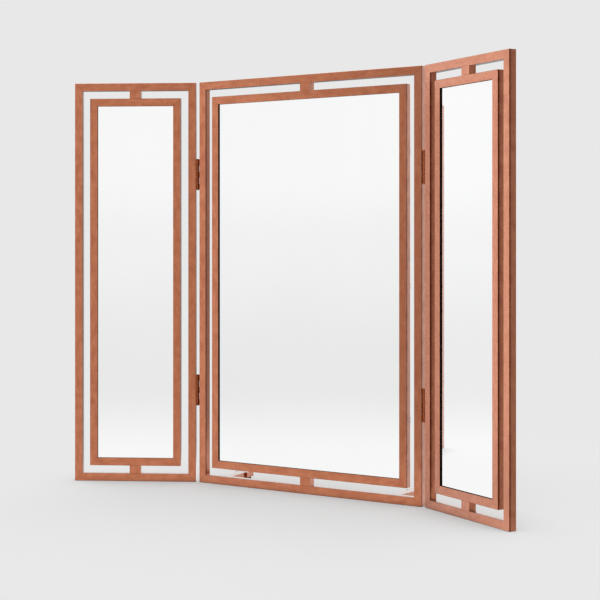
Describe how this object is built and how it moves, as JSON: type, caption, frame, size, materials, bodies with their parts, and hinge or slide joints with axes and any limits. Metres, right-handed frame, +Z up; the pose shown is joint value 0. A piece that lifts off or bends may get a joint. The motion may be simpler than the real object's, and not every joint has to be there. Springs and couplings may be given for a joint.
{
  "type": "dressing table mirror",
  "caption": "Free-standing folding mirror with a wide centre panel and two hinged wings, each a double frame of slim copper-finished bar round a glass mirror.",
  "frame": {"origin": "on the surface that the mirror stands on, under the middle of the centre panel, at half its depth", "axes": "+X to the right along the centre panel as seen from the front, +Y to the back, +Z up"},
  "size_m": [0.84, 0.1849, 0.7005],
  "materials": {
    "copper_bar": "copper, satin, softly mottled patina brushed along each bar",
    "hinge_metal": "dark copper, polished barrels",
    "mirror": "silvered clear glass",
    "backing": "brown hardboard",
    "clip_steel": "zinc-plated",
    "screw_steel": "copper-washed steel",
    "felt": "dark brown felt"
  },
  "bodies": {
    "centre": {"centre_outer_left_stile": "copper_bar", "centre_outer_right_stile": "copper_bar", "centre_outer_top_rail": "copper_bar", "centre_outer_bottom_rail": "copper_bar", "centre_inner_left_stile": "copper_bar", "centre_inner_right_stile": "copper_bar", "centre_inner_top_rail": "copper_bar", "centre_inner_bottom_rail": "copper_bar", "centre_top_tab": "copper_bar", "centre_bottom_tab": "copper_bar", "centre_mirror_glass": "mirror", "centre_backing_board": "backing", "centre_backing_clips": "clip_steel", "centre_screws": "screw_steel", "centre_felt": "felt", "left_lower_hinge_centre_leaf": "hinge_metal", "left_upper_hinge_centre_leaf": "hinge_metal", "left_hinge_pins": "hinge_metal", "left_foot_arm": "copper_bar", "left_foot_toe": "copper_bar", "right_lower_hinge_centre_leaf": "hinge_metal", "right_upper_hinge_centre_leaf": "hinge_metal", "right_hinge_pins": "hinge_metal", "right_foot_arm": "copper_bar", "right_foot_toe": "copper_bar"},
    "left_wing": {"left_wing_outer_free_stile": "copper_bar", "left_wing_outer_hinge_stile": "copper_bar", "left_wing_outer_top_rail": "copper_bar", "left_wing_outer_bottom_rail": "copper_bar", "left_wing_inner_free_stile": "copper_bar", "left_wing_inner_hinge_stile": "copper_bar", "left_wing_inner_top_rail": "copper_bar", "left_wing_inner_bottom_rail": "copper_bar", "left_wing_top_tab": "copper_bar", "left_wing_bottom_tab": "copper_bar", "left_wing_mirror_glass": "mirror", "left_wing_backing_board": "backing", "left_wing_backing_clips": "clip_steel", "left_wing_screws": "screw_steel", "left_wing_felt": "felt", "left_lower_hinge_wing_leaf": "hinge_metal", "left_upper_hinge_wing_leaf": "hinge_metal"},
    "right_wing": {"right_wing_outer_hinge_stile": "copper_bar", "right_wing_outer_free_stile": "copper_bar", "right_wing_outer_top_rail": "copper_bar", "right_wing_outer_bottom_rail": "copper_bar", "right_wing_inner_hinge_stile": "copper_bar", "right_wing_inner_free_stile": "copper_bar", "right_wing_inner_top_rail": "copper_bar", "right_wing_inner_bottom_rail": "copper_bar", "right_wing_top_tab": "copper_bar", "right_wing_bottom_tab": "copper_bar", "right_wing_mirror_glass": "mirror", "right_wing_backing_board": "backing", "right_wing_backing_clips": "clip_steel", "right_wing_screws": "screw_steel", "right_wing_felt": "felt", "right_lower_hinge_wing_leaf": "hinge_metal", "right_upper_hinge_wing_leaf": "hinge_metal"}
  },
  "joints": [
    {"name": "left_wing_fold", "type": "hinge", "parent": "centre", "child": "left_wing", "pos_m": [-0.2228, -0.0052, 0.3505], "axis": [0, 0, 1], "range_deg": [-45, 115]},
    {"name": "right_wing_fold", "type": "hinge", "parent": "centre", "child": "right_wing", "pos_m": [0.2228, -0.0052, 0.3505], "axis": [0, 0, -1], "range_deg": [-45, 115]}
  ]
}
